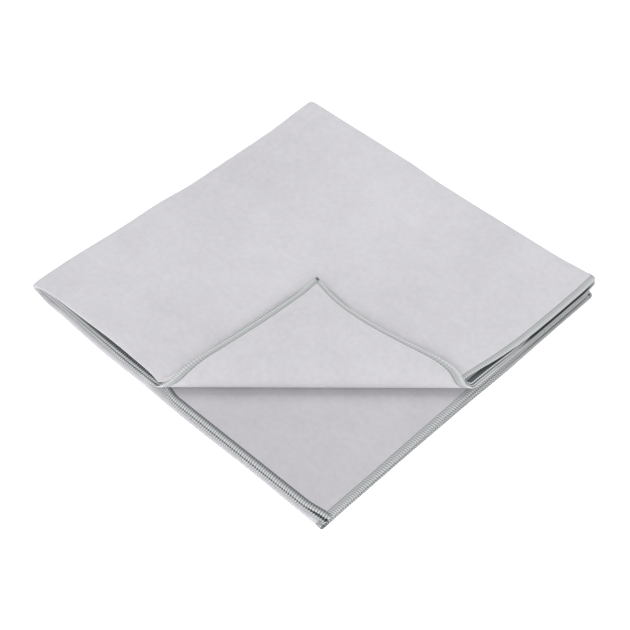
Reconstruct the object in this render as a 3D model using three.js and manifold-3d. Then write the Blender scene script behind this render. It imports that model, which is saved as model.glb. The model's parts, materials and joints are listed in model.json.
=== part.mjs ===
// Quick dry towel, 600 x 1200 mm, folded to a 300 mm square of eight layers
// with its front corner turned back. Millimetres, +Z up, origin at the bottom centre.
//
// The towel is folded twice along its length, which gives four layers, and then
// once across its width. Layers are numbered 1 to 8 from the top of the stack.
//   +Y side  folds 1-4 and 2-3 of the upper half, 5-8 and 6-7 of the lower half
//   -Y side  folds 1-2 and 7-8, and the short hemmed edges of layers 3, 4, 5 and 6
//   -X side  the last fold, which joins the upper half to the lower half
//   +X side  the long hemmed edges of all eight layers
import * as THREE from 'three';
import * as BufferGeometryUtils from 'three/addons/utils/BufferGeometryUtils.js';
import Module from 'manifold-3d';

const wasm = await Module();
wasm.setup();
const { Manifold, Mesh: ManifoldMesh } = wasm;

// Driving dimensions
const SIDE = 300;          // side of the folded square
const THICK = 1.2;         // one layer of microfibre with its nap, and one hem
const PITCH = 1.8;         // from one layer to the next
const HEM = 4.5;           // width of the overlocked hem
const GAP = 0.3;           // clearance between neighbouring solids
const CREASE = 136;        // x - y along the line the front corner turns about
const BEND = 5;            // x - y from that line to each side of the bend
const TUCK = 25;           // x - y that the bend takes up, which draws the corner in
const SHORT = 2.5;         // how far the bends at the crease stop short of the towel's edges
const ARC_STEPS = 12;      // straight steps in each half circle

const HALF = SIDE / 2;
const LAYERS = 8;
const layerZ = (layer) => THICK / 2 + (LAYERS - layer) * PITCH;
const bendRadius = (step) => (step - 0.5) * PITCH;    // nested bends, 1 is the tightest
const BULGE = bendRadius(4) + THICK / 2;              // reach of the widest bend
const SPLIT_Z = (layerZ(4) + layerZ(5)) / 2;          // between the two halves
const TURN_Z = layerZ(1) + PITCH / 2;                 // between layer 1 and the turned corner

const cloth = new THREE.MeshStandardMaterial({
  name: 'microfibre', color: 0xd0cfd4, roughness: 0.95, metalness: 0,
});
const thread = new THREE.MeshStandardMaterial({
  name: 'overlock_thread', color: 0xb4bebb, roughness: 0.8, metalness: 0,
});

// ---------------------------------------------------------------- helpers

// Half circle of centre-line points, from angle a0 through half a turn.
function arc(cx, cy, radius, a0, direction) {
  const points = [];
  for (let i = 0; i <= ARC_STEPS; i++) {
    const a = a0 + direction * Math.PI * i / ARC_STEPS;
    points.push(new THREE.Vector2(cx + radius * Math.cos(a), cy + radius * Math.sin(a)));
  }
  return points;
}

// Closed outline of a strip THICK wide that follows a centre line.
function ribbon(points) {
  const left = [];
  const right = [];
  points.forEach((p, i) => {
    const before = points[Math.max(i - 1, 0)];
    const after = points[Math.min(i + 1, points.length - 1)];
    const along = after.clone().sub(before).normalize();
    const side = new THREE.Vector2(-along.y, along.x).multiplyScalar(THICK / 2);
    left.push(p.clone().add(side));
    right.push(p.clone().sub(side));
  });
  return new THREE.Shape([...left, ...right.reverse()]);
}

// Extrusion of a shape whose own axes are the directions u and v of the part.
function extrude(shape, u, v, from, to) {
  const w = u.clone().cross(v);
  const geometry = new THREE.ExtrudeGeometry(shape, {
    depth: to - from, bevelEnabled: false, curveSegments: ARC_STEPS,
  });
  geometry.translate(0, 0, from);
  geometry.applyMatrix4(new THREE.Matrix4().makeBasis(u, v, w));
  return geometry;
}

function toManifold(geometry) {
  const bare = new THREE.BufferGeometry();
  bare.setAttribute('position', geometry.getAttribute('position'));
  const merged = BufferGeometryUtils.mergeVertices(bare, 1e-5);
  return new Manifold(new ManifoldMesh({
    numProp: 3,
    vertProperties: new Float32Array(merged.getAttribute('position').array),
    triVerts: new Uint32Array(merged.index.array),
  }));
}

function toGeometry(solid) {
  const { vertProperties, triVerts } = solid.getMesh();
  const geometry = new THREE.BufferGeometry();
  geometry.setAttribute('position', new THREE.BufferAttribute(new Float32Array(vertProperties), 3));
  geometry.setIndex(new THREE.BufferAttribute(new Uint32Array(triVerts), 1));
  const flat = geometry.toNonIndexed();
  flat.computeVertexNormals();
  return flat;
}

const towel = new THREE.Group();
towel.name = 'quick_dry_towel';

function add(name, geometry, material) {
  const mesh = new THREE.Mesh(geometry, material);
  mesh.name = name;
  towel.add(mesh);
}

// Adds every closed body of a cut solid, named from the top of the stack down.
function addBodies(names, solid, material) {
  const middle = (body) => {
    const { min, max } = body.boundingBox();
    return (min[2] + max[2]) / 2;
  };
  const bodies = solid.decompose().sort((a, b) => middle(b) - middle(a));
  bodies.forEach((body, i) => add(names[i], toGeometry(body), material));
}

const X = new THREE.Vector3(1, 0, 0);
const Y = new THREE.Vector3(0, 1, 0);
const Z = new THREE.Vector3(0, 0, 1);
const OUT = new THREE.Vector3(1, -1, 0).normalize();    // from the stack to its front corner
const ALONG = new THREE.Vector3(1, 1, 0).normalize();   // along the crease

// ---------------------------------------------------------------- one half, four layers

// Centre line across a half in Y and Z: the inner free edge, a bend at +Y to the
// next layer, a bend at -Y, and a bend at +Y round to the outer free edge.
// order lists the four layers from one free edge to the other.
function fourLayers(order, edgeY) {
  const [first, second, third, last] = order.map(layerZ);
  const up = Math.sign(third - second);
  const joint = (a, b) => (a + b) / 2;
  const radius = (a, b) => Math.abs(a - b) / 2;
  const far = HALF - THICK / 2 - radius(last, third);
  const near = -HALF + THICK / 2 + radius(second, third);
  const quarter = Math.PI / 2;
  return [
    new THREE.Vector2(edgeY, first),
    ...arc(far, joint(first, second), radius(first, second), -up * quarter, up),
    ...arc(near, joint(second, third), radius(second, third), -up * quarter, -up),
    ...arc(far, joint(third, last), radius(third, last), up * quarter, -up),
    new THREE.Vector2(edgeY, last),
  ];
}

const BACK_X = -HALF + BULGE + GAP / 2;                 // the cloth stops where the bends start
const FRONT_X = HALF - HEM - GAP;
const HEM_Y = -HALF + HEM + GAP;

function halfOfTowel(order) {
  const [inner, , , outer] = order;
  const across = (y, from, to) => extrude(ribbon(fourLayers(order, y)), Y, Z, from, to);
  const shortHem = (layer) => {
    const strip = ribbon([
      new THREE.Vector2(-HALF, layerZ(layer)), new THREE.Vector2(-HALF + HEM, layerZ(layer)),
    ]);
    return extrude(strip, Y, Z, BACK_X, FRONT_X);
  };
  return {
    cloth: across(HEM_Y, BACK_X, FRONT_X),
    longHem: across(-HALF, FRONT_X + GAP, HALF),
    innerHem: shortHem(inner),
    outerHem: shortHem(outer),
  };
}

// ---------------------------------------------------------------- lower half, layers 5 to 8

const lower = halfOfTowel([6, 7, 8, 5]);
add('lower_cloth', lower.cloth, cloth);
add('lower_long_hem', lower.longHem, thread);
add('lower_short_hem_5', lower.outerHem, thread);
add('lower_short_hem_6', lower.innerHem, thread);

// ---------------------------------------------------------------- upper half, layers 1 to 4

const upper = halfOfTowel([3, 2, 1, 4]);

// Tall block on the stack side or the corner side of the line x - y = limit.
function cornerBlock(limit, corner) {
  const far = corner ? 2 * SIDE : -2 * SIDE;
  const wide = 2 * SIDE;
  const outline = new THREE.Shape([[limit, -wide], [far, -wide], [far, wide], [limit, wide]]
    .map(([d, s]) => new THREE.Vector2(d / Math.SQRT2, s)));
  const geometry = new THREE.ExtrudeGeometry(outline, { depth: 2 * SIDE, bevelEnabled: false });
  geometry.translate(0, 0, -SIDE);
  geometry.applyMatrix4(new THREE.Matrix4().makeBasis(OUT, ALONG, Z));
  return toManifold(geometry);
}

const stackSide = cornerBlock(CREASE - BEND, false);
const cornerSide = cornerBlock(CREASE + BEND, true);
const keep = (geometry) => toManifold(geometry).intersect(stackSide);

addBodies(['upper_cloth'], keep(upper.cloth), cloth);
addBodies(['upper_long_hem_1_4', 'upper_long_hem_2_3'], keep(upper.longHem), thread);
addBodies(['upper_short_hem_3'], keep(upper.innerHem), thread);
addBodies(['upper_short_hem_4'], keep(upper.outerHem), thread);

// ---------------------------------------------------------------- turned corner

// The corner is cut from the upper half where it lies, drawn in by the bend, and
// then turned half a turn about the crease, so layer 4 comes to the top face up.
const drawIn = new THREE.Matrix4()
  .makeTranslation(OUT.clone().multiplyScalar(-TUCK / Math.SQRT2));
const creasePoint = OUT.clone().multiplyScalar(CREASE / Math.SQRT2).addScaledVector(Z, TURN_Z);
const turnOver = new THREE.Matrix4()
  .makeTranslation(creasePoint)
  .multiply(new THREE.Matrix4().makeRotationAxis(ALONG, Math.PI))
  .multiply(new THREE.Matrix4().makeTranslation(creasePoint.clone().negate()));

function turned(geometry) {
  const drawn = toManifold(geometry.clone().applyMatrix4(drawIn));
  const corner = toGeometry(drawn.intersect(cornerSide)).applyMatrix4(turnOver);
  return toManifold(corner);
}

addBodies(['corner_cloth_4', 'corner_cloth_3', 'corner_cloth_1_2'], turned(upper.cloth), cloth);
addBodies(
  ['corner_long_hem_4', 'corner_long_hem_3', 'corner_long_hem_1_2'],
  turned(upper.longHem), thread,
);
addBodies(['corner_short_hem_4'], turned(upper.outerHem), thread);
addBodies(['corner_short_hem_3'], turned(upper.innerHem), thread);

// ---------------------------------------------------------------- bends that join the bodies

// Four nested bends at -X, from layers 4-5 on the inside to 1-8 on the outside.
for (let step = 1; step <= 4; step++) {
  const bend = ribbon(arc(SPLIT_Z, -HALF + BULGE, bendRadius(step), 0, -1));
  add(`back_bend_${5 - step}_${4 + step}`, extrude(bend, Z, X, -HALF, HALF), cloth);
}

// Four nested bends at the crease, from layer 1 on the inside to 4 on the outside.
// Their ends slant, because the edges of the towel run round the bend as a helix.
const bendD = (CREASE - BEND) / Math.SQRT2;
const lowEnd = (SIDE - CREASE + BEND) / Math.SQRT2;
const highEnd = (SIDE - CREASE - BEND - TUCK) / Math.SQRT2;
const middleEnd = (lowEnd + highEnd) / 2 - SHORT;
for (let step = 1; step <= 4; step++) {
  const bend = ribbon(arc(TURN_Z, bendD + GAP / 2, bendRadius(step), Math.PI, -1));
  const geometry = extrude(bend, Z, OUT, -1, 1);
  const position = geometry.getAttribute('position');
  for (let i = 0; i < position.count; i++) {
    const point = new THREE.Vector3().fromBufferAttribute(position, i);
    const end = Math.sign(point.dot(ALONG));
    const rise = (point.z - TURN_Z) / BULGE;
    const reach = middleEnd - rise * (lowEnd - highEnd) / 2;
    point.addScaledVector(ALONG, end * (reach - 1));
    position.setXYZ(i, point.x, point.y, point.z);
  }
  geometry.computeVertexNormals();
  add(`crease_bend_${step}`, geometry, cloth);
}

export default towel;
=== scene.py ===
import json
import math

import bpy
import numpy as np
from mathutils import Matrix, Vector


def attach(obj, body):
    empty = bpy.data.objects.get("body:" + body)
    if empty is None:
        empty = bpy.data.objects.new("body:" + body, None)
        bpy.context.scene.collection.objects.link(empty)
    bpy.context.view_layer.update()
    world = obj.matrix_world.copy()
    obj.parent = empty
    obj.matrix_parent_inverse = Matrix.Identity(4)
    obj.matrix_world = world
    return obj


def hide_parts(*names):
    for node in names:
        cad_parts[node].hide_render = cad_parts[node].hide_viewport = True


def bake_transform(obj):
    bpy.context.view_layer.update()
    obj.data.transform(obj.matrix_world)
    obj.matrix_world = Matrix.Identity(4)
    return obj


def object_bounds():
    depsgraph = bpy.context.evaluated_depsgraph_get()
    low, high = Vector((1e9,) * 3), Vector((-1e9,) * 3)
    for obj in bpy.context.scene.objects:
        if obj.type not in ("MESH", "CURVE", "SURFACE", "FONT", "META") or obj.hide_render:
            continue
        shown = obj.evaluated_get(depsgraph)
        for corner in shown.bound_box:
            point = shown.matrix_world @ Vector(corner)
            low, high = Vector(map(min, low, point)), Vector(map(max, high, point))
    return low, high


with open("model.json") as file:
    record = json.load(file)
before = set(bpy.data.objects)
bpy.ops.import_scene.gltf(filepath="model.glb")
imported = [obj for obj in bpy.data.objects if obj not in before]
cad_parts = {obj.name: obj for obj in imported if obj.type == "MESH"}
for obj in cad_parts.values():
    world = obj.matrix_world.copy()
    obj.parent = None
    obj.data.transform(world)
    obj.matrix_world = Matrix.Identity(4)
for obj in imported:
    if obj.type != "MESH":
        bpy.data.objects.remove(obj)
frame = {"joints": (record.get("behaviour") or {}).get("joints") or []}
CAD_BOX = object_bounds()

MM = 0.001

# ---------------------------------------------------------------- sizes from the frame

joints = {j["name"]: j for j in frame["joints"]}
HALF = CAD_BOX[1].x / MM                                   # 150, half the folded side
SPLIT_Z = joints["top_half_open"]["pos_m"][2] / MM         # between layers 4 and 5
TURN_Z = joints["corner_turn"]["pos_m"][2] / MM            # between layer 1 and the corner
PITCH = (TURN_Z - SPLIT_Z) / 4                             # from one layer to the next
WIDTH, LENGTH = 4 * HALF, 8 * HALF                         # the towel laid flat

CLOTH = 0.8        # thickness of the cloth with its nap
HEM = 4.6          # width of the overlock seam
ROOT2 = math.sqrt(2)
PROUD_X, PROUD_Y = 4.0, 2.6    # the soft folds at -X and +Y stand out from the square


def smooth(t):
    t = np.clip(t, 0.0, 1.0)
    return t * t * (3 - 2 * t)


def ramp(x, a, b):
    """0 before a, 1 after b, smooth between them."""
    return smooth((x - a) / (b - a))


def bell(x, centre, width):
    return np.exp(-(((x - centre) / width) ** 2))


# ---------------------------------------------------------------- folds across the length

H = [PITCH * (k - 0.5) for k in (1, 2, 3, 4)]   # heights of layers 4, 3, 2, 1 over the split


class HalfStack:
    """The cross-section of four layers: v along the towel to y and to h, the height
    over the split. The lower half is its mirror image below the split."""

    def __init__(self, near_reach, far_inset):
        h4, h3, h2, h1 = H
        self.near_a, self.near_r = near_reach, (h1 - h2) / 2
        self.near_y = -HALF + CLOTH / 2 + self.near_a
        self.outer_a, self.outer_r = 4.2, (h1 - h4) / 2
        self.outer_y = HALF - CLOTH / 2 - self.outer_a + PROUD_Y
        self.inner_a, self.inner_r = 2.6, (h2 - h3) / 2
        self.inner_y = HALF - CLOTH / 2 - far_inset - self.inner_a

    @staticmethod
    def quarter(a, r):
        return math.pi / 2 * math.sqrt((a * a + r * r) / 2)

    def at(self, v):
        h4, h3, h2, h1 = H
        q_out = self.quarter(self.outer_a, self.outer_r)
        q_in = self.quarter(self.inner_a, self.inner_r)
        q_near = self.quarter(self.near_a, self.near_r)
        fold = 2 * HALF
        y = np.zeros_like(v)
        h = np.zeros_like(v)

        def panel(lo, q0, y0, a0, r0, hc0, q1, y1, a1, r1, hc1, flat_h, up0, up1):
            """One layer from fold apex to fold apex. A q of 0 is a free edge."""
            on = (v >= lo) & (v <= lo + fold)
            line = abs(y1 - y0)
            s = (v[on] - lo) / fold * (q0 + line + q1)
            yy = np.empty_like(s)
            hh = np.empty_like(s)
            first = s < q0
            last = s > q0 + line
            mid = ~(first | last)
            direction = 1.0 if y1 > y0 else -1.0
            if q0:
                f = math.pi / 2 * (1 - s[first] / q0)
                yy[first] = y0 - direction * a0 * np.sin(f)
                hh[first] = hc0 + up0 * r0 * np.cos(f)
            if q1:
                f = math.pi / 2 * (s[last] - q0 - line) / q1
                yy[last] = y1 + direction * a1 * np.sin(f)
                hh[last] = hc1 + up1 * r1 * np.cos(f)
            yy[mid] = y0 + direction * (s[mid] - q0)
            hh[mid] = flat_h
            y[on] = yy
            h[on] = hh

        # heights of the fold centres between layers 1 and 4, 1 and 2, and 2 and 3
        c14, c12, c23 = (h1 + h4) / 2, (h1 + h2) / 2, (h2 + h3) / 2
        panel(0, 0, -HALF, 0, 0, 0,
              q_out, self.outer_y, self.outer_a, self.outer_r, c14, h4, 0, -1)
        panel(fold, q_out, self.outer_y, self.outer_a, self.outer_r, c14,
              q_near, self.near_y, self.near_a, self.near_r, c12, h1, 1, 1)
        panel(2 * fold, q_near, self.near_y, self.near_a, self.near_r, c12,
              q_in, self.inner_y, self.inner_a, self.inner_r, c23, h2, -1, 1)
        panel(3 * fold, q_in, self.inner_y, self.inner_a, self.inner_r, c23,
              0, -HALF, 0, 0, 0, h3, -1, 0)
        return y, h


STACK = HalfStack(near_reach=3.2, far_inset=3.0)


# ---------------------------------------------------------------- the last fold, at -X

def last_fold(u, h):
    """u across the towel and the height h over the split to x and z."""
    deep = (h - H[0]) / (H[3] - H[0])
    a = 3.4 + 3.2 * deep                                  # reach of this layer's bend
    apex = -HALF + CLOTH / 2 + 2.9 * (1 - deep) - PROUD_X
    tangent = apex + a
    q = math.pi / 2 * np.sqrt((a * a + h * h) / 2)        # a quarter of the bend
    line = HALF - tangent
    side = np.where(u <= 2 * HALF, 1.0, -1.0)
    s = np.where(u <= 2 * HALF, u, 4 * HALF - u) / (2 * HALF) * (line + q)
    f = np.clip((s - line) / q, 0, 1) * math.pi / 2
    full = 1 + 0.12 * np.sin(2 * f) ** 2                  # a pressed fold, squarer than round
    x = np.where(s < line, HALF - s, tangent - a * np.sin(f) * full)
    z = SPLIT_Z + side * h * np.cos(f) * full
    return x, z


# ---------------------------------------------------------------- how the stack lies

def layered(h, over, upper, lower):
    """Blends eight fields. upper has layers 4, 3, 2, 1 and lower their mirror images
    5, 6, 7, 8. over is 1 on the upper half, -1 on the lower one, between in the fold."""
    t = np.clip((h - H[0]) / PITCH, 0, 2.99999)
    i = t.astype(int)[None]
    both = []
    for fields in (upper, lower):
        stacked = np.stack([np.broadcast_to(field, h.shape) for field in fields])
        near = np.take_along_axis(stacked, i, 0)[0]
        both.append(near + (np.take_along_axis(stacked, i + 1, 0)[0] - near) * (t - i[0]))
    return both[1] + (both[0] - both[1]) * smooth((over + 1) / 2)


def settle(x, y, z, h):
    """Moves the ideal stack to how the real one lies: layers out of line at their
    edges, soft folds, gaps between layers and a gently uneven top."""
    over = np.clip((z - SPLIT_Z) / h, -1, 1)
    # -Y edge: the layers step outward from the top fold down to the lowest one
    behind = 1 - ramp(x, -30, 4)                       # left of the crease
    tip = ramp(x, 128, 152)
    west = 1 - ramp(x, -130, -40)
    top = (4.6 + 1.1 * bell(x, -68, 28) - 3.2 * bell(x, -154, 16)
           - 3.4 * bell(x, -158, 9)) * behind
    low = -1.9 * (1 - west) - 0.3 * np.sin(x / 17)
    dy = layered(h, over, [0.5 + 2.9 * west, 2.6 + 1.9 * west, top, top],
                 [2.0 + 9.0 * behind + 3.0 * tip, 0.8 + 9.5 * behind + 1.2 * tip, low, low])
    dy = dy * np.exp(-(y + HALF) / 26)
    # the +Y folds of the lower half sit further in than those of the upper half
    inset = 4.0 + PROUD_Y + 1.3 * ramp(x, 60, 150)
    flatter = 1.9 * ramp(x, -45, -5) * (1 - ramp(x, 110, 145)) - 0.5 * ramp(x, 138, 152)
    dy = dy - layered(h, over, [flatter] * 4, [inset] * 4) * np.exp(-(HALF - y) / 24)
    # long hems at +X: the upper ones draw in towards the crease and the +Y corner
    wave = np.sin((y + 40) / 31)
    draw = np.exp(-(((y - 8) / np.where(y > 8, 45.0, 22.0)) ** 2))
    end = ramp(y, 132, 152)
    lean = 0.8 + 1.1 * ramp(y, -10, 50)
    dx = layered(h, over,
                 [-0.2 - 1.0 * draw - 0.3 * ramp(y, 48, 84) - end,
                  -0.4 - 2.2 * draw - 3.4 * ramp(y, 48, 84) - end,
                  -0.6 - 3.2 * draw - 4.6 * ramp(y, 48, 84) - end,
                  -0.7 - 5.6 * draw - 1.5 * bell(y, 16, 14) - 1.9 * bell(y, 5, 9) - end],
                 [-0.1 + 0.8 * ramp(-y, 40, 110) - 0.4 * draw, 0.1 + 0.2 * wave,
                  -0.2 - 0.3 * wave + lean, -0.3 + 0.2 * wave + lean])
    dx = dx * np.exp(-(HALF - x) / 24)
    # the lower end of the last fold slants in at the -Y corner
    slant = 7.4 * np.clip(1 - z / (SPLIT_Z + H[3]), 0, 1) ** 0.8
    slant = slant * bell(y, -HALF, 24) * np.exp(-(x + HALF) / 22)
    bow = 3.6 * (1 - ramp(y, -140, -48)) - 2.8 * ramp(y, -30, 15) * (1 - ramp(y, 95, 150))
    dx = dx + slant - (bow - 1.8 * bell(y, -155, 9)) * np.exp(-np.clip(x + HALF, 0, None) / 22)
    dy = dy + 0.3 * slant
    # heights
    left = ramp(-x, 8, 30) * ramp(x, -146, -120)       # the -Y edge left of the crease
    edge = bell(y, -147.5, 6.5)
    level = [SPLIT_Z + up for up in H] + [SPLIT_Z - up for up in H]
    gap = (1.3 * ramp(y, 55, 90) * (1 - ramp(y, 134, 150)) + 0.3 * bell(y, 16, 20)) \
        * ramp(x, 112, 150)
    l8 = level[7] - 0.1
    l7 = level[6] + 2.7 * left * edge + 0.5 * (1 - left) * (1 - tip) * edge
    l6 = np.maximum(level[5] + (0.3 * (1 - left) - 0.9 * tip) * edge, l7 + 0.35)
    l5 = np.maximum(level[4], l6 + 0.35)
    l4 = level[0]
    l3 = level[1] - 0.7 * gap - 0.6 * left * edge
    l2 = level[2] - 1.4 * gap - 0.2 * left * edge
    l1 = level[3] + 0.2 * gap + 0.1 * edge
    lift = np.where(over > 0, layered(h, np.ones_like(h), [l4, l3, l2, l1], [0] * 4),
                    layered(h, -np.ones_like(h), [0] * 4, [l5, l6, l7, l8]))
    z2 = SPLIT_Z + np.abs(over) * (lift - SPLIT_Z)
    # a soft roll along the top fold, and a soft, uneven lie that grows with height
    roll = 0.45 * bell(y, -146, 7) - 0.5 * bell(y, -128, 12)
    lie = (0.22 * np.sin(x / 37 + 1.1) * np.sin(y / 45 + 0.4)
           + 0.12 * np.sin(x / 19 - y / 27 + 2.0) + 0.08 * np.sin(x / 11 + y / 17))
    high = np.clip((z - SPLIT_Z) / (4 * PITCH), 0, 1)
    level_corner = 1 - ramp((x - y) / ROOT2, 60, 84)
    return x + dx, y + dy, z2 + (lie * level_corner + roll * ramp(-x, 5, 40)) * high


# ---------------------------------------------------------------- the turned corner

CORNER_N = 2 * HALF / ROOT2          # distance of the towel's front corner along (1, -1)
TIP_N = -1.5                         # where the tip of the turned corner lies
CREASE_N = 99.3                      # how far out the crease reaches
CUT_AT = 84.0                        # the corner's own sheets begin here, inside the crease
FLAP_PITCH = 1.42                    # layers lie closer in the turned corner
FLAP_LOW = TURN_Z + 1.0              # height of its lowest layer
FLAP_SLOPE = 1.10                    # half width over depth of the turned corner


def turn_corner(x, y, z, z_flat):
    """Bends what lies beyond the crease back over the stack. z_flat is the height
    before the stack settled: it tells how far out a layer lies in the bend."""
    n = (x - y) / ROOT2
    s = (x + y) / ROOT2
    r = np.maximum(TURN_Z - z_flat, 0.3)
    inner = 3.5 * PITCH - r                       # 0 for layer 4, outermost in the bend
    # the bend: a short turn up to the nose, and a long slope to the turned corner
    flap_z = FLAP_LOW + (r - PITCH / 2) / PITCH * FLAP_PITCH
    nose_z = TURN_Z - 0.3 * r
    nose_n = CREASE_N + 0.0227 * s - 0.7 * inner
    a_in, a_out = 0.6 + 0.7 * r, 8.0 + 2.0 * r
    q_in = math.pi / 2 * np.sqrt((a_in ** 2 + (nose_z - z_flat) ** 2) / 2)
    q_out = math.pi / 2 * np.sqrt((a_out ** 2 + (flap_z - nose_z) ** 2) / 2)
    beyond = n - (nose_n - a_in)
    turn = np.where(beyond < q_in, beyond / q_in, 1 + (beyond - q_in) / q_out)
    f = np.clip(turn, 0, 2) * math.pi / 2
    first = f < math.pi / 2
    bend_n = nose_n - (1 - np.sin(f)) * np.where(first, a_in, a_out)
    bend_z = nose_z - np.cos(f) * np.where(first, nose_z - z, flap_z - nose_z)
    # in the turned corner, all layers are drawn to nearly the same outline
    start = nose_n - a_out
    depth = np.clip(beyond - q_in - q_out, 0, None)
    full = CORNER_N - (nose_n - a_in) - q_in - q_out        # depth of the corner's tip
    under = inner / PITCH * 0.45                            # lower layers peek out
    tip = TIP_N - under
    squeeze = (start - tip) / full
    flap_n = start - depth * squeeze
    flat, past = beyond < 0, turn > 2
    nn = np.where(flat, n, np.where(past, flap_n, bend_n))
    rise = (nn - TIP_N) / (CREASE_N - TIP_N)                # 0 at the tip, 1 at the crease
    right = smooth(s / 6 + 0.5)
    layer = inner / (3 * PITCH)                             # 0 for layer 4, 1 for layer 1
    upper_sag = 13.0 * ramp(rise, 0, 0.36) ** 0.6 * (1 - ramp(rise, 0.42, 1.02))
    lower_sag = 11.2 * ramp(rise, 0.1, 0.42) * (1 - ramp(rise, 0.42, 0.95))
    sag_right = (upper_sag + 0.5 * (lower_sag - upper_sag) * layer
                 + 4.0 * bell(layer, 0.5, 0.28) * ramp(rise, 0.55, 0.9))
    sag_left = (4.6 * (1 - layer) * ramp(rise, 0, 0.2) * (1 - ramp(rise, 0.3, 0.95))
                - bell(layer, 0.33, 0.2) * (4.2 * ramp(rise, -0.05, 0.4)
                                            + 4.5 * bell(rise, 0.18, 0.13)
                                            + 2.0 * bell(rise, 0.5, 0.2)))
    sag = sag_left + (sag_right - sag_left) * right
    outline = FLAP_SLOPE * (nn - TIP_N) + under - sag       # half width of the corner
    fan = np.where(right > 0.5, 9 + 15 * smooth(3 * layer - 2),
                   9 + 5 * bell(layer, 0.33, 0.25) - 3 * smooth(3 * layer - 1))
    goal = outline + (CORNER_N - n - outline) * np.exp(-np.clip(nose_n - nn, 0, None) / fan)
    share = np.clip(goal, 0, None) / np.maximum(CORNER_N - n, 1e-6)
    share = np.where(CORNER_N - n < 0.8, FLAP_SLOPE * squeeze, share)
    flap_s = s * np.where(turn > 1, share, 1.0)
    # its tip and edges settle, its middle stays full
    wide = np.abs(flap_s) / np.maximum(outline + 1e-6, 1.0)
    down = 0.3 * np.clip(wide, 0, 1) ** 2 + 0.6 * ramp(-flap_n, -30, 2)
    flap_z = flap_z - down * np.clip(depth / 12, 0, 1) * (r - PITCH / 2) / (3 * PITCH)
    zz = np.where(flat, z, np.where(past, flap_z, bend_z))
    return (nn + flap_s) / ROOT2, (flap_s - nn) / ROOT2, zz


def cloth_at(u, v):
    """The flat towel's point (u, v) to its place, as an array of shape (..., 3)."""
    u = np.asarray(u, float)
    v = np.asarray(v, float)
    u, v = np.broadcast_arrays(u, v)
    inside = np.clip(v, 0, LENGTH)
    y, h = STACK.at(inside)
    y = y - np.abs(inside - v)
    x, z = last_fold(np.clip(u, 0, WIDTH), h)
    x = x + np.abs(np.clip(u, 0, WIDTH) - u)
    sx, sy, sz = settle(x, y, z, h)
    tx, ty, tz = turn_corner(sx, sy, sz, z)
    upper = u < 2 * HALF
    return np.stack([np.where(upper, tx, sx), np.where(upper, ty, sy),
                     np.where(upper, tz, sz)], -1)


def cloth_frame(u, v, step=0.03):
    """Places and unit normals of the sheet's mid-surface."""
    du = cloth_at(u + step, v) - cloth_at(u - step, v)
    dv = cloth_at(u, v + step) - cloth_at(u, v - step)
    normal = np.cross(du, dv)
    normal /= np.maximum(np.linalg.norm(normal, axis=-1, keepdims=True), 1e-12)
    return cloth_at(u, v), normal


# ---------------------------------------------------------------- meshes

def make_mesh(name, points, faces, flat, tone_and_shade=None, sharp=60):
    """A mesh object from points in mm. flat holds each point's place on the towel."""
    mesh = bpy.data.meshes.new(name)
    mesh.from_pydata((points * MM).tolist(), [], faces)
    mesh.polygons.foreach_set("use_smooth", np.ones(len(faces), bool))
    mesh.set_sharp_from_angle(angle=math.radians(sharp))
    lay = mesh.attributes.new("flat", "FLOAT_VECTOR", "POINT")
    lay.data.foreach_set("vector", (flat * MM).astype(np.float32).ravel())
    # tone_and_shade: painted shade, and on the thread also its own darker tone
    if tone_and_shade is not None:
        shade = mesh.attributes.new("tone_and_shade", "FLOAT", "POINT")
        shade.data.foreach_set("value", tone_and_shade.astype(np.float32).ravel())
    obj = bpy.data.objects.new(name, mesh)
    bpy.context.scene.collection.objects.link(obj)
    return obj


def sheet_mesh(name, U, V):
    """A closed sheet CLOTH thick over a grid of flat points, wound from U to V."""
    rows, cols = U.shape
    mid, normal = cloth_frame(U, V)
    points = np.concatenate([(mid + normal * CLOTH / 2).reshape(-1, 3),
                             (mid - normal * CLOTH / 2).reshape(-1, 3)])
    count = rows * cols
    index = np.arange(count).reshape(rows, cols)
    quads = np.stack([index[:-1, :-1], index[:-1, 1:], index[1:, 1:], index[1:, :-1]],
                     -1).reshape(-1, 4)
    rim = np.concatenate([index[0], index[1:, -1], index[-1, -2::-1], index[-2:0:-1, 0]])
    after = np.roll(rim, -1)
    walls = np.stack([after, rim, rim + count, after + count], -1)
    faces = np.concatenate([quads, quads[:, ::-1] + count, walls]).tolist()
    flat = np.stack([U, V, 0 * U], -1).reshape(-1, 3)
    flat = np.concatenate([flat, flat + np.array([0, 0, 40.0])])
    # painted shade: layer 5 takes a darker copy of the nap colour, standing in for its nap,
    # brushed the other way, catching less light
    painted_nap_shade = ramp(U, FOLD - 2, FOLD + 2) * (1 - ramp(V, FOLD - 2, FOLD + 2))
    return make_mesh(name, points, faces, flat, np.tile(painted_nap_shade.ravel(), 2))


def spaced(points, step):
    """Values from the first to the last of points, no further apart than step(value)."""
    out = [points[0]]
    for a, b in zip(points[:-1], points[1:]):
        track = [a]
        while track[-1] < b:
            track.append(track[-1] + step(track[-1]))
        track = np.array(track)
        track = a + (track - a) * (b - a) / (track[-1] - a)
        out.extend(track[1:].tolist())
    return np.array(out)


FLAT_STEP = 6.5
INSET = 1.0                            # the cloth's edge lies this far inside the seam
FOLD = 2 * HALF                        # from one fold of the length to the next
PANEL_START = {4: 0, 1: FOLD, 2: 2 * FOLD, 3: 3 * FOLD}    # v where each layer begins


def v_of_y(y, layer):
    """v of the point with this y on layer 4, 1, 2 or 3."""
    table = PANEL_START[layer] + np.linspace(0, FOLD, 4001)
    ys = STACK.at(table)[0]
    order = np.argsort(ys)
    return np.interp(y, ys[order], table[order])


def u_of_x(x, v):
    """u of the point with this x on the straight part of the upper half."""
    h = STACK.at(v)[1]
    x0, x1 = last_fold(0 * h, h)[0], last_fold(0 * h + 1, h)[0]
    return (x - x0) / (x1 - x0)


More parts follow.
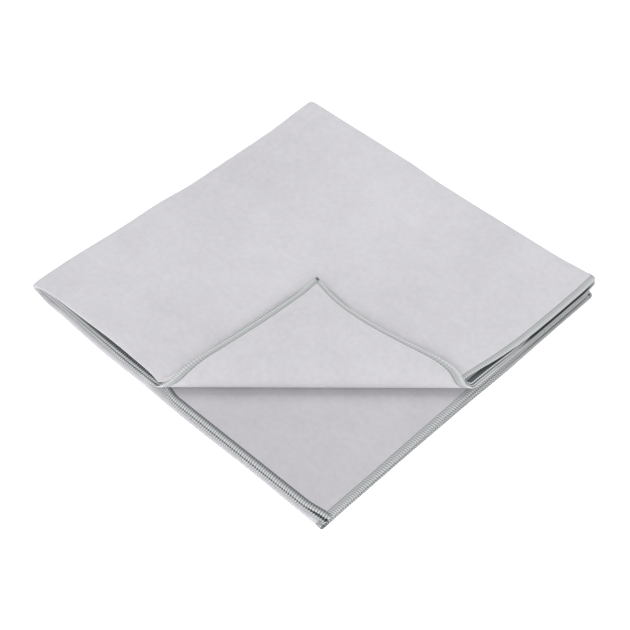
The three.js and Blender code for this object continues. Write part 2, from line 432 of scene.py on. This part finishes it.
def corner_grid(layers):
    """(U, V) grid of one sheet of the turned corner: layers is (4,), (1, 2) or (3,).
    Rows run across it, close together at the bend and wide beyond it."""
    def step(n):
        past = n - CREASE_N - 26
        return (1.0 if n < CREASE_N - 10 else 0.4 if n < CREASE_N + 6 else 0.9 if past < 0
                else min(6.0, 0.9 + past * 0.25))
    n = spaced([CUT_AT, CORNER_N - 2.2], step)
    y_end = HALF - INSET - ROOT2 * n
    if layers == (1, 2):
        core = 0.04
        t = np.concatenate([np.linspace(-1, -core, 24)[:-1], np.linspace(-core, core, 19),
                            np.linspace(core, 1, 24)[1:]])[None]
        mid = 2 * FOLD
        reach = np.where(t < 0, (mid - v_of_y(y_end, 1))[:, None],
                         (v_of_y(y_end, 2) - mid)[:, None])
        near = np.minimum(5.0, reach / 2)
        V = mid + np.sign(t) * (near * np.clip(np.abs(t) / core, 0, 1)
                                + (reach - near) * np.clip(np.abs(t) - core, 0, 1) / (1 - core))
    elif layers == (4,):
        V = INSET + np.linspace(0, 1, 26)[None] * (v_of_y(y_end, 4) - INSET)[:, None]
    else:
        edge = LENGTH - INSET
        V = edge - np.linspace(1, 0, 26)[None] * (edge - v_of_y(y_end, 3))[:, None]
    x = ROOT2 * n[:, None] + STACK.at(V)[0]
    return np.maximum(u_of_x(x, V), INSET), V


def main_grid(corners):
    """(U, V) grid of the rest of the towel. Its rows meet those of the corner sheets."""
    def row_step(v):
        near = min(abs(v - FOLD), abs(v - 2 * FOLD), abs(v - 3 * FOLD))
        return 0.45 if near < 4.2 else 1.0 if near < 7 else min(FLAT_STEP, near * 0.5 - 2.5)

    def col_step(u):
        near = abs(u - FOLD)
        return (0.13 if near < 0.7 else 0.35 if near < 1.6 else 0.9 if near < 12
                else min(FLAT_STEP, 0.9 + (near - 12) * 0.5))
    on4, on12, on3 = [V[0] for U, V in corners]
    rows = np.concatenate([
        on4, spaced([on4[-1], FOLD, on12[0]], row_step)[1:],
        on12[1:], spaced([on12[-1], 3 * FOLD, on3[0]], row_step)[1:], on3[1:]])
    cut_x = np.minimum(ROOT2 * CUT_AT + STACK.at(rows)[0], HALF - INSET)
    cut = np.maximum(u_of_x(cut_x, rows), INSET)[:, None]
    start = 215.0                      # u from which the columns run straight
    first = cut + np.linspace(0, 1, 33)[None] * (start - cut)
    rest = spaced([start, FOLD, WIDTH - INSET], col_step)[1:]
    U = np.concatenate([first, np.tile(rest, (len(rows), 1))], 1)
    return U, np.tile(rows[:, None], U.shape[1])


# ---------------------------------------------------------------- overlock seams

STITCH = 2.0                           # length of one stitch
PER_STITCH = 6                         # stations to a stitch
# across the seam: inward distance and half thickness, from the inner end to the outer edge
NEEDLE = HEM - 0.25                    # where the needle thread runs
PROFILE = [(HEM + 0.4, 0.22), (HEM + 0.12, 0.42), (NEEDLE, 0.62), (HEM - 0.65, 0.52),
           (3.0, 0.5), (1.9, 0.53), (0.8, 0.55), (0.05, 0.46), (-0.32, 0.22)]


def seam_mesh(name, first, last, edge, shade, relief):
    """One overlock seam, thread wrapped round the cloth's edge stitch by stitch.
    edge(s, d) gives (u, v) at s along the seam and d inward from the edge. On each
    side of the cloth, 1 or -1, shade(s, d, side) paints shade into the thread where it lies
    deep between layers or in the curl of a hem. relief is how far the stitches stand out."""
    count = max(int(round((last - first) / STITCH * PER_STITCH)), 4)
    along = np.linspace(first, last, count + 1)
    S, D = np.meshgrid(along, [p[0] for p in PROFILE], indexing="ij")
    mid, normal = cloth_frame(*edge(S, D))
    phase = 2 * math.pi * S / STITCH + 0.5 * np.sin(S / 7.3) + 0.35 * np.sin(S / 2.9 + 1.0)
    body = np.clip((HEM - 0.4 - D) / 0.5, 0, 1)
    needle = bell(D, NEEDLE, 0.3)
    teeth = min(0.6, 0.9 * relief)
    sides, tones = [], []
    for sign in (1, -1):
        wrap = 0.5 + 0.5 * np.cos(phase + sign * (0.5 + 0.55 * D))
        bead = np.abs(np.sin(phase / 2 + 0.6 * sign))
        thick = np.array([p[1] for p in PROFILE])[None]
        thick = (thick + relief * body * 0.3 * (wrap ** 0.7 - 0.45)
                 + needle * 0.12 * (bead - 0.5))
        sides.append(mid + normal * (sign * thick)[..., None])
        # painted shade: darker down in the grooves between the stitches and in the dent along
        # the needle line
        groove = body * smooth(1.25 - 1.25 * wrap)
        tone_and_shade = (np.where(D < 1.0, 0.07 + teeth * groove, 0.33 + 0.45 * relief * groove)
                + 0.75 * needle * (1 - 0.75 * bead))
        tones.append(np.clip(tone_and_shade + shade(S, D, sign), 0, 1))
    # the outer edge, where the loops lock, with painted shade between the loops
    wrap = 0.5 + 0.5 * np.cos(2 * math.pi * along / STITCH + 0.5 * np.sin(along / 7.3))
    tip = cloth_at(*edge(along, -0.42 - 0.3 * wrap))[:, None]
    points = np.concatenate([sides[0], tip, sides[1][:, ::-1]], 1)
    tone_and_shade = np.concatenate([tones[0], (teeth * (1 - wrap))[:, None], tones[1][:, ::-1]], 1)
    rows, cols = tone_and_shade.shape
    index = np.arange(rows * cols).reshape(rows, cols)
    after = np.roll(index, -1, 1)
    faces = np.stack([index[:-1], after[:-1], after[1:], index[1:]],
                     -1).reshape(-1, 4).tolist()
    for ring in (index[0], index[-1][::-1]):               # the two ends
        for k in range(cols // 2):
            left, right = ring[k:k + 2].tolist(), ring[cols - k - 2:cols - k].tolist()
            faces.append([left[0], right[1], right[0], left[1]] if right[0] != left[1]
                         else [left[0], right[1], right[0]])
    points = points.reshape(-1, 3)
    ring = points[index]
    volume = np.einsum("ijk,ijk->", ring[:-1], np.cross(points[after[:-1]], ring[1:]))
    if volume < 0:
        faces = [f[::-1] for f in faces]
    flat = np.stack([np.tile(along[:, None], cols), np.tile(np.arange(cols) * 0.6, (rows, 1)),
                     np.zeros((rows, cols))], -1).reshape(-1, 3)
    return make_mesh(name, points, faces, flat, tone_and_shade, sharp=75)


# ---------------------------------------------------------------- materials

def new_material(name):
    mat = bpy.data.materials.new(name)
    mat.use_nodes = True
    tree = mat.node_tree
    tree.nodes.clear()
    out = tree.nodes.new("ShaderNodeOutputMaterial")
    shader = tree.nodes.new("ShaderNodeBsdfPrincipled")
    tree.links.new(shader.outputs[0], out.inputs["Surface"])
    return mat, tree, shader


def noise(tree, vector, scale, detail=3.0, rough=0.55):
    node = tree.nodes.new("ShaderNodeTexNoise")
    node.inputs["Scale"].default_value = scale
    node.inputs["Detail"].default_value = detail
    node.inputs["Roughness"].default_value = rough
    tree.links.new(vector, node.inputs["Vector"])
    return node.outputs["Fac"]


def math_node(tree, operation, a, b):
    node = tree.nodes.new("ShaderNodeMath")
    node.operation = operation
    for socket, value in zip(node.inputs, (a, b)):
        if isinstance(value, (int, float)):
            socket.default_value = value
        else:
            tree.links.new(value, socket)
    return node.outputs[0]


def mix_colour(tree, factor, a, b):
    node = tree.nodes.new("ShaderNodeMix")
    node.data_type = "RGBA"
    tree.links.new(factor, node.inputs["Factor"])
    for key, value in (("A", a), ("B", b)):
        socket = [s for s in node.inputs if s.name == key and s.type == "RGBA"][0]
        if isinstance(value, tuple):
            socket.default_value = (*value, 1)
        else:
            tree.links.new(value, socket)
    return [s for s in node.outputs if s.type == "RGBA"][0]


def attribute(tree, name, output):
    node = tree.nodes.new("ShaderNodeAttribute")
    node.attribute_name = name
    return node.outputs[output]


def bump(tree, height, strength, distance, normal=None):
    node = tree.nodes.new("ShaderNodeBump")
    node.inputs["Strength"].default_value = strength
    node.inputs["Distance"].default_value = distance
    tree.links.new(height, node.inputs["Height"])
    if normal is not None:
        tree.links.new(normal, node.inputs["Normal"])
    return node.outputs["Normal"]


def microfibre():
    """Brushed suede microfibre: fine nap, faint hand marks, a soft bloom at the rims."""
    mat, tree, shader = new_material("microfibre_suede")
    flat = attribute(tree, "flat", "Vector")
    broad = noise(tree, flat, 9, 2, 0.5)           # hand marks ~100 mm across
    clouds = noise(tree, flat, 45, 4, 0.6)         # nap brushed this way and that, ~20 mm
    strokes = noise(tree, flat, 210, 3, 0.6)       # ~5 mm
    nap = noise(tree, flat, 1900, 3, 0.7)          # ~0.5 mm
    large = math_node(tree, "ADD", math_node(tree, "MULTIPLY", broad, 0.3),
                      math_node(tree, "MULTIPLY", clouds, 0.2))
    small = math_node(tree, "ADD", math_node(tree, "MULTIPLY", strokes, 0.25),
                      math_node(tree, "MULTIPLY", nap, 0.25))
    mixed = math_node(tree, "ADD", large, small)
    colour = mix_colour(tree, mixed, NAP_DARK, NAP_LIGHT)
    # painted shade: a darker copy of the nap colour for layer 5
    painted_nap_shade = mix_colour(tree, mixed, SHADED_NAP_DARK, SHADED_NAP_LIGHT)
    colour = mix_colour(tree, attribute(tree, "tone_and_shade", "Fac"), colour, painted_nap_shade)
    tree.links.new(colour, shader.inputs["Base Color"])
    rough = math_node(tree, "ADD", math_node(tree, "MULTIPLY", strokes, 0.1), 0.88)
    tree.links.new(rough, shader.inputs["Roughness"])
    shader.inputs["Specular IOR Level"].default_value = 0.2
    shader.inputs["Sheen Weight"].default_value = 0.35
    shader.inputs["Sheen Roughness"].default_value = 0.5
    shader.inputs["Sheen Tint"].default_value = (0.95, 0.95, 1.0, 1)
    coarse = bump(tree, strokes, 0.25, 0.0004)
    fine = bump(tree, nap, 0.6, 0.0002, coarse)
    tree.links.new(fine, shader.inputs["Normal"])
    return mat


def thread():
    """Overlock thread: matt spun polyester, with painted shade down between the stitches and
    deep between layers.
    """
    mat, tree, shader = new_material("overlock_thread")
    flat = attribute(tree, "flat", "Vector")
    tone_and_shade = attribute(tree, "tone_and_shade", "Fac")
    twist = noise(tree, flat, 2600, 2, 0.6)
    drift = noise(tree, flat, 60, 2, 0.5)
    light = mix_colour(tree, drift, THREAD_LIGHT, THREAD_PALE)
    shade = math_node(tree, "ADD", tone_and_shade, math_node(tree, "MULTIPLY", twist, 0.16))
    # painted shade: tone_and_shade and the twist noise darken the thread towards
    # THREAD_TWIST_AND_SHADE
    colour = mix_colour(tree, shade, light, THREAD_TWIST_AND_SHADE)
    tree.links.new(colour, shader.inputs["Base Color"])
    shader.inputs["Roughness"].default_value = 0.62
    shader.inputs["Specular IOR Level"].default_value = 0.35
    shader.inputs["Sheen Weight"].default_value = 0.15
    tree.links.new(bump(tree, twist, 0.5, 0.00015), shader.inputs["Normal"])
    return mat


NAP_DARK, NAP_LIGHT = (0.395, 0.383, 0.408), (0.830, 0.817, 0.845)
# painted shade: the darker copy of the nap colours, for layer 5
SHADED_NAP_DARK, SHADED_NAP_LIGHT = (0.325, 0.311, 0.340), (0.715, 0.700, 0.731)
THREAD_LIGHT, THREAD_PALE = (0.75, 0.763, 0.765), (0.82, 0.832, 0.835)
# painted shade: the near-black that the thread's twist, own tone and painted shade mix towards
THREAD_TWIST_AND_SHADE = (0.05, 0.062, 0.072)

# ---------------------------------------------------------------- the towel's pieces

NAP, THREAD = microfibre(), thread()

corners = [corner_grid((4,)), corner_grid((1, 2)), corner_grid((3,))]
main = sheet_mesh("towel_cloth", *main_grid(corners))
flaps = [sheet_mesh(name, *grid) for name, grid in zip(
    ("corner_cloth_layer_4", "corner_cloth_layers_1_2", "corner_cloth_layer_3"), corners)]

CROSS = 3.6                            # a long seam starts inside the short seam's loops
CUT_S = 2 * HALF - ROOT2 * CUT_AT      # from a -Y corner to where the cut crosses a seam


def below(s, bound):
    """1 for s under a bound, fading to 0 just past it."""
    return 1 - ramp(s, bound - 20, bound)


def long_upper(s, d, side):
    """Painted shade in the gap at +X, whose floor is the top of layer 4's hem and whose roof
    is the underside of layer 1's. The hems of layers 2 and 3 lie deep in it and are painted
    dark, all but their edges, which towards the +Y fold are dark as well."""
    reach = 0.9 - 0.7 * ramp(s, 200, 240)
    corner = ramp(abs(s - FOLD), 5, 16)                # the gap closes at the +Y folds
    near_crease = 1 - 0.75 * ramp(s, 2 * FOLD - 135, 2 * FOLD - 95)
    return np.where(s < FOLD, 0.9 * (side < 0) * ramp(d - reach, 0, 0.5) * corner,
                    np.where(s < 2 * FOLD, 0.9 * (side < 0) * corner * near_crease,
                             0.92 * np.maximum(ramp(d, 0.1, 0.7),
                                               1 - ramp(abs(s - 3 * FOLD), 50, 90))))


def long_lower(s, d, side):
    """Painted shade on the hems of layers 6 to 8, all but their edges. Round the -Y fold the
    whole seam is left light, and only its outermost loops get painted shade."""
    shown = 0.4 + 1.3 * (1 - ramp(s, 3 * FOLD - 30, 3 * FOLD + 30))
    return (0.9 * ramp(s, FOLD - 12, FOLD) * ramp(d - shown, 0, 0.4)
            * (1 - bell(s, 2 * FOLD, 14)) + 0.8 * bell(s, 2 * FOLD, 6) * (d < 0.1))


def short_4_5(s, d, side):
    """Painted shade where layer 3 lies on the hem of layer 4, and in the curl of layer 5's
    hem. A painted shadow makes a dark notch at the corner's tip."""
    return (0.9 * (side < 0) * ramp(d, 1.2, 1.9) * below(s, FOLD)
            + 0.3 * ramp(s, FOLD, FOLD + 12) * ramp(d, 2.3, 3.2) + 0.6 * bell(s, 0.8, 1.8))


def short_3_6(s, d, side):
    """Painted shade where the top fold lies on the hem of layer 3, and layer 5 on layer 6's."""
    return (0.95 * (side > 0) * ramp(d, 1.6, 2.3) * below(s, FOLD)
            + 0.95 * (side < 0) * ramp(d, 0.5, 1.2) * ramp(s, FOLD + 120, FOLD + 200))


def open_air(s, d, side):
    """Nothing lies over this seam."""
    return 0 * s


seams = {}
for name, first, last, shade, relief in (
        ("upper_long_seam_4_1", CUT_S, 2 * FOLD - CUT_S, long_upper, 0.35),
        ("upper_long_seam_2_3", 2 * FOLD + CUT_S, LENGTH - CUT_S, long_upper, 0.4),
        ("corner_long_seam_4", CROSS, CUT_S, open_air, 0.22),
        ("corner_long_seam_1_2", 2 * FOLD - CUT_S, 2 * FOLD + CUT_S, long_upper, 0.4),
        ("corner_long_seam_3", LENGTH - CUT_S, LENGTH - CROSS, long_upper, 0.4)):
    seams[name] = seam_mesh(name, first, last, lambda s, d: (d, s), shade, relief)
seams["lower_long_seam"] = seam_mesh(
    "lower_long_seam", CROSS, LENGTH - CROSS, lambda s, d: (WIDTH - d, s), long_lower, 0.6)
for name, first, last, relief in (("corner_short_seam_4", 0, CUT_S, 0.3),
                                  ("short_seam_4_5", CUT_S, WIDTH, 0.55)):
    seams[name] = seam_mesh(name, first, last, lambda s, d: (s, d), short_4_5, relief)
for name, first, last in (("corner_short_seam_3", 0, CUT_S), ("short_seam_3_6", CUT_S, WIDTH)):
    seams[name] = seam_mesh(name, first, last, lambda s, d: (s, LENGTH - d), short_3_6, 0.6)

for obj in (main, *flaps):
    obj.data.materials.append(NAP)
for obj in seams.values():
    obj.data.materials.append(THREAD)

# ---------------------------------------------------------------- bodies and CAD nodes

for obj in (main, seams["short_seam_4_5"], seams["short_seam_3_6"]):
    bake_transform(obj)
for obj in (*flaps, *(o for n, o in seams.items() if n.startswith("corner"))):
    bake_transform(obj)
for name in ("upper_long_seam_4_1", "upper_long_seam_2_3"):
    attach(seams[name], "upper_half")
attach(seams["lower_long_seam"], "lower_half")

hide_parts("lower_cloth", "upper_cloth",
            "back_bend_4_5", "back_bend_3_6", "back_bend_2_7", "back_bend_1_8")
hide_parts("corner_cloth_4", "crease_bend_4")
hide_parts("corner_cloth_1_2", "crease_bend_1", "crease_bend_2")
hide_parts("corner_cloth_3", "crease_bend_3")
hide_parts("lower_long_hem")
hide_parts("upper_long_hem_1_4")
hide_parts("upper_long_hem_2_3")
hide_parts("corner_long_hem_4")
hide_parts("corner_long_hem_1_2")
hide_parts("corner_long_hem_3")
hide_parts("corner_short_hem_4")
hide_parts("corner_short_hem_3")
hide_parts("lower_short_hem_5", "upper_short_hem_4")
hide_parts("lower_short_hem_6", "upper_short_hem_3")

# ---------------------------------------------------------------- floor, light, camera

def build_floor():
    """A plain floor just under the towel, with a glow that keeps it white."""
    mesh = bpy.data.meshes.new("studio_floor")
    side = 6.0
    mesh.from_pydata([(-side, -side, 0), (side, -side, 0), (side, side, 0), (-side, side, 0)],
                     [], [(0, 1, 2, 3)])
    floor = bpy.data.objects.new("studio_floor", mesh)
    bpy.context.scene.collection.objects.link(floor)
    floor.location.z = -0.0002
    mat, tree, shader = new_material("studio_white")
    shader.inputs["Base Color"].default_value = (0.9, 0.9, 0.9, 1)
    shader.inputs["Roughness"].default_value = 0.9
    shader.inputs["Emission Color"].default_value = (1, 1, 1, 1)
    shader.inputs["Emission Strength"].default_value = 0.8
    floor.data.materials.append(mat)


def soft_box(name, azimuth, elevation, distance, size, power):
    """A square area light that faces the towel from an azimuth and elevation in degrees."""
    a, e = math.radians(azimuth), math.radians(elevation)
    back = Vector((math.sin(a) * math.cos(e), -math.cos(a) * math.cos(e), math.sin(e)))
    data = bpy.data.lights.new(name, "AREA")
    data.shape, data.size, data.energy = "SQUARE", size, power
    light = bpy.data.objects.new(name, data)
    light.location = back * distance
    light.rotation_euler = back.to_track_quat("Z", "Y").to_euler()
    bpy.context.scene.collection.objects.link(light)


build_floor()
soft_box("back", 206, 50, 1.7, 1.3, 19.3)
soft_box("left", -30, 30, 2.6, 2.0, 20)
soft_box("front", 48, 35, 1.7, 1.3, 17)
world = bpy.data.worlds.new("studio")
world.use_nodes = True
world.node_tree.nodes["Background"].inputs["Color"].default_value = (0.98, 0.99, 1.0, 1)
world.node_tree.nodes["Background"].inputs["Strength"].default_value = 0.22
bpy.context.scene.world = world
bpy.context.scene.view_settings.view_transform = "Standard"

AZIMUTH, ELEVATION = math.radians(43.98), math.radians(47.69)
CAMERA_DISTANCE = 1.151                # metres
CAMERA_LENS = 87.54                    # mm
AIM = Vector((13.0, -15.3, 0)) * MM    # the point the camera looks at
camera_data = bpy.data.cameras.new("camera")
camera_data.lens = CAMERA_LENS
camera = bpy.data.objects.new("camera", camera_data)
facing = Vector((math.sin(AZIMUTH) * math.cos(ELEVATION),
                 -math.cos(AZIMUTH) * math.cos(ELEVATION), math.sin(ELEVATION)))
camera.location = AIM + facing * CAMERA_DISTANCE
camera.rotation_euler = facing.to_track_quat("Z", "Y").to_euler()
camera_data.clip_start, camera_data.clip_end = 0.05, 50
bpy.context.scene.collection.objects.link(camera)
bpy.context.scene.camera = camera
